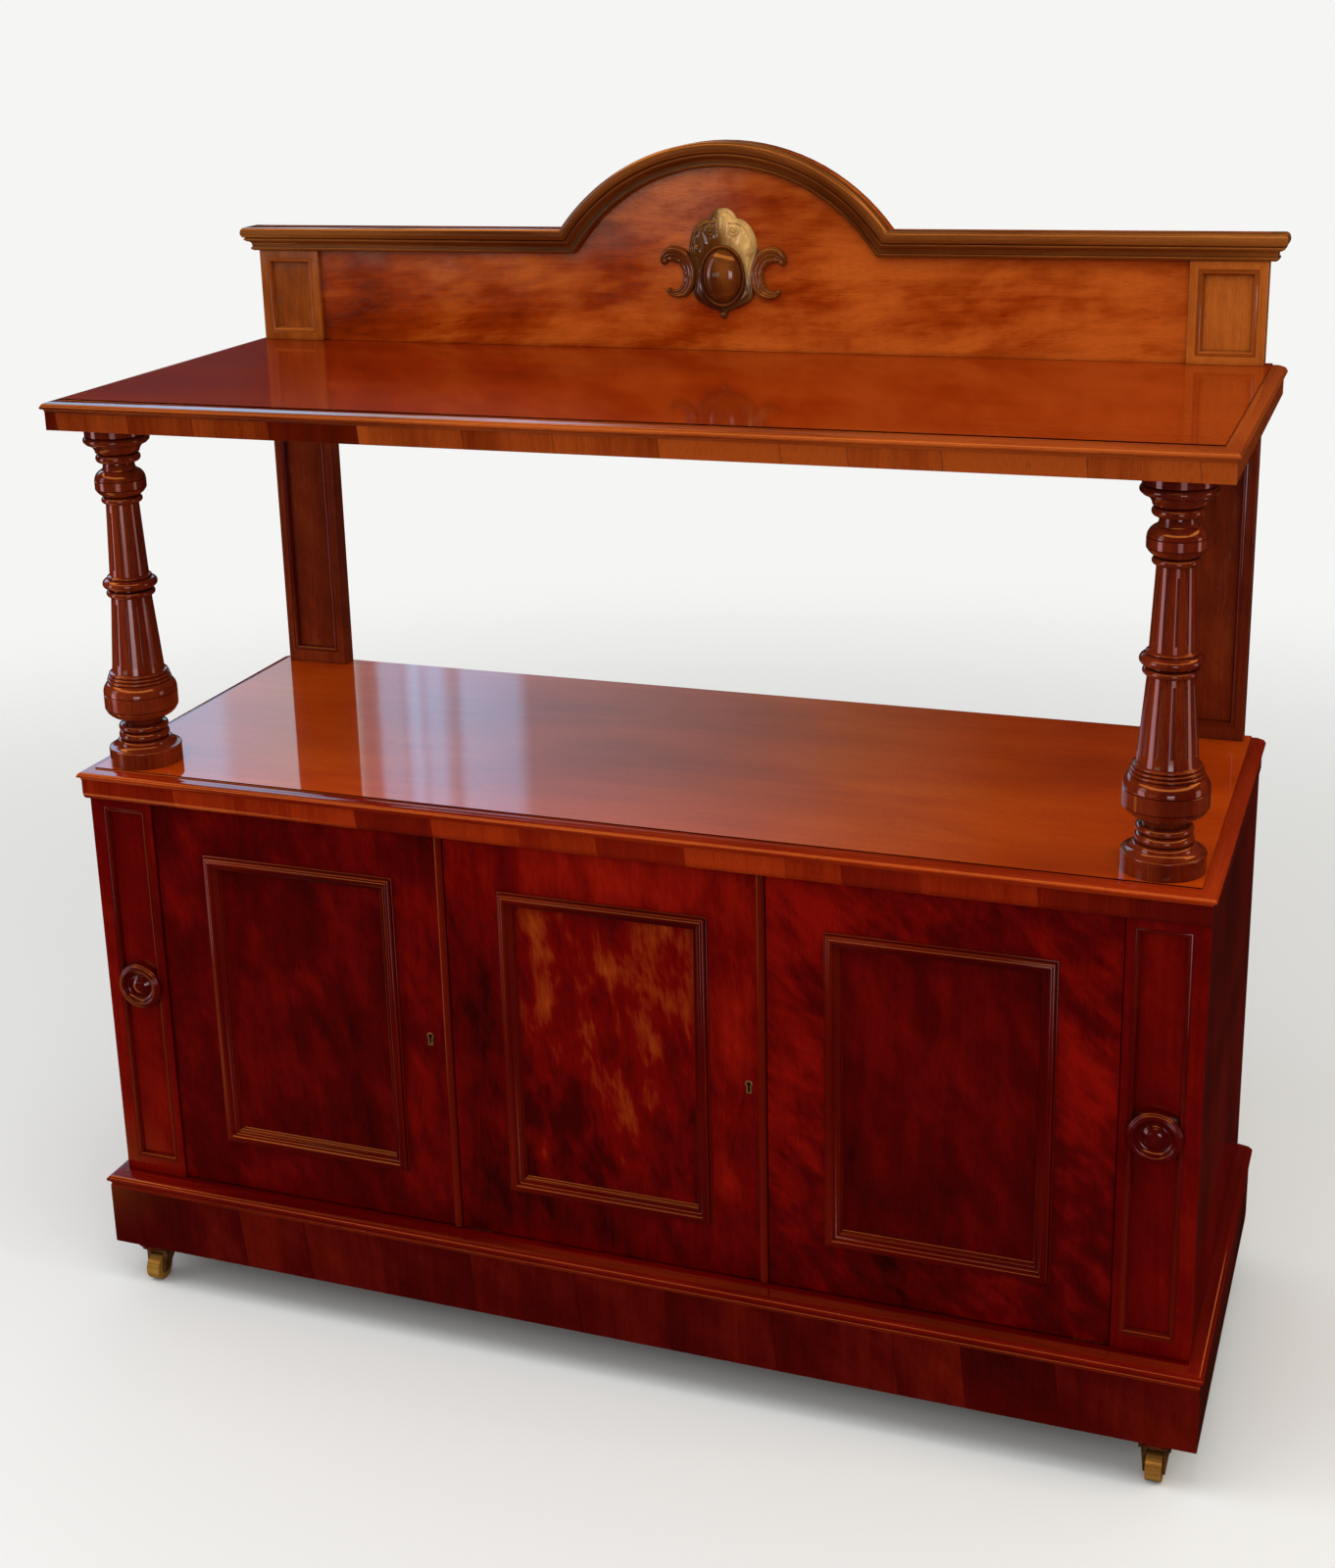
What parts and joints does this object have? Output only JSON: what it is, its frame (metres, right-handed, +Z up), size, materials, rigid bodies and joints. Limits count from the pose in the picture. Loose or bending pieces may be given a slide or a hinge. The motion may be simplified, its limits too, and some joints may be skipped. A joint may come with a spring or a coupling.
{
  "type": "sideboard",
  "caption": "Mahogany sideboard on casters: cupboard with framed doors, fluted columns carrying a shelf, and a gallery with an arched cornice and carved crest.",
  "frame": {"origin": "on the floor under the middle of the bounding box", "axes": "+X to the right along the front, +Y from the front to the back, +Z up"},
  "size_m": [1.552, 0.592, 1.596],
  "materials": {
    "brass": "worn polished",
    "caster_brass": "dull aged",
    "caster_roller": "satin",
    "secondary_wood": "oiled",
    "carved_wood": "french polished",
    "banded_veneer": "french polished",
    "door_veneer": "french polished",
    "mahogany": "french polished"
  },
  "bodies": {
    "carcass": {"bottom_board": "mahogany", "plinth_front": "mahogany", "plinth_frame": "mahogany", "plinth_moulding": "mahogany", "side_panels": "mahogany", "pilaster_boards": "mahogany", "pilaster_beads": "mahogany", "roundels": "mahogany", "partition": "secondary_wood", "stop_rails": "secondary_wood", "back_frame": "secondary_wood", "back_panels": "secondary_wood", "cupboard_shelves": "secondary_wood", "lower_top": "mahogany", "top_frieze": "banded_veneer", "posts": "mahogany", "post_beads": "mahogany", "shelf_board": "mahogany", "shelf_frieze": "banded_veneer", "shelf_soffit": "secondary_wood", "gallery_panel": "mahogany", "gallery_posts": "mahogany", "cornice_sides": "mahogany", "cornice_arch": "mahogany", "crest_leaf": "carved_wood", "crest_boss": "carved_wood", "crest_scrolls": "carved_wood", "columns": "mahogany", "carcass_hinge_plates": "brass", "caster_pads": "mahogany", "caster_plates": "caster_brass"},
    "left_door": {"left_door_frame": "door_veneer", "left_door_panel": "door_veneer", "left_door_mouldings": "mahogany", "left_door_plates": "brass", "left_door_lock": "brass"},
    "centre_door": {"centre_door_frame": "door_veneer", "centre_door_panel": "door_veneer", "centre_door_mouldings": "mahogany", "centre_door_plates": "brass", "centre_door_lock": "brass"},
    "right_door": {"right_door_frame": "door_veneer", "right_door_panel": "door_veneer", "right_door_mouldings": "mahogany", "right_door_plates": "brass"},
    "left_lock_bolt": {"left_lock_bolt": "brass"},
    "centre_lock_bolt": {"centre_lock_bolt": "brass"},
    "right_top_bolt": {"right_top_bolt": "brass"},
    "right_bottom_bolt": {"right_bottom_bolt": "brass"},
    "caster_fork_1": {"caster_fork_1": "caster_brass"},
    "caster_wheel_1": {"caster_wheel_1": "caster_roller"},
    "caster_fork_2": {"caster_fork_2": "caster_brass"},
    "caster_wheel_2": {"caster_wheel_2": "caster_roller"},
    "caster_fork_3": {"caster_fork_3": "caster_brass"},
    "caster_wheel_3": {"caster_wheel_3": "caster_roller"},
    "caster_fork_4": {"caster_fork_4": "caster_brass"},
    "caster_wheel_4": {"caster_wheel_4": "caster_roller"}
  },
  "joints": [
    {"name": "left_door_hinge", "type": "hinge", "parent": "carcass", "child": "left_door", "pos_m": [-0.6435, -0.258, 0.178], "axis": [0, 0, -1], "range_deg": [0, 95]},
    {"name": "centre_door_hinge", "type": "hinge", "parent": "carcass", "child": "centre_door", "pos_m": [-0.20492, -0.258, 0.178], "axis": [0, 0, -1], "range_deg": [0, 95]},
    {"name": "right_door_hinge", "type": "hinge", "parent": "carcass", "child": "right_door", "pos_m": [0.6435, -0.258, 0.178], "axis": [0, 0, 1], "range_deg": [0, 95]},
    {"name": "left_lock_slide", "type": "slide", "parent": "left_door", "child": "left_lock_bolt", "axis": [1, 0, 0], "range_m": [0, 0.008]},
    {"name": "centre_lock_slide", "type": "slide", "parent": "centre_door", "child": "centre_lock_bolt", "axis": [1, 0, 0], "range_m": [0, 0.008]},
    {"name": "right_top_bolt_slide", "type": "slide", "parent": "right_door", "child": "right_top_bolt", "axis": [0, 0, 1], "range_m": [0, 0.012]},
    {"name": "right_bottom_bolt_slide", "type": "slide", "parent": "right_door", "child": "right_bottom_bolt", "axis": [0, 0, -1], "range_m": [0, 0.012]},
    {"name": "caster_1_swivel", "type": "hinge", "parent": "carcass", "child": "caster_fork_1", "pos_m": [-0.72, -0.255, 0.044], "axis": [0, 0, 1], "continuous": true},
    {"name": "caster_1_roll", "type": "hinge", "parent": "caster_fork_1", "child": "caster_wheel_1", "pos_m": [-0.72, -0.266, 0.019], "axis": [1, 0, 0], "continuous": true},
    {"name": "caster_2_swivel", "type": "hinge", "parent": "carcass", "child": "caster_fork_2", "pos_m": [0.72, -0.255, 0.044], "axis": [0, 0, 1], "continuous": true},
    {"name": "caster_2_roll", "type": "hinge", "parent": "caster_fork_2", "child": "caster_wheel_2", "pos_m": [0.72, -0.266, 0.019], "axis": [1, 0, 0], "continuous": true},
    {"name": "caster_3_swivel", "type": "hinge", "parent": "carcass", "child": "caster_fork_3", "pos_m": [-0.72, 0.255, 0.044], "axis": [0, 0, 1], "continuous": true},
    {"name": "caster_3_roll", "type": "hinge", "parent": "caster_fork_3", "child": "caster_wheel_3", "pos_m": [-0.72, 0.244, 0.019], "axis": [1, 0, 0], "continuous": true},
    {"name": "caster_4_swivel", "type": "hinge", "parent": "carcass", "child": "caster_fork_4", "pos_m": [0.72, 0.255, 0.044], "axis": [0, 0, 1], "continuous": true},
    {"name": "caster_4_roll", "type": "hinge", "parent": "caster_fork_4", "child": "caster_wheel_4", "pos_m": [0.72, 0.244, 0.019], "axis": [1, 0, 0], "continuous": true}
  ]
}
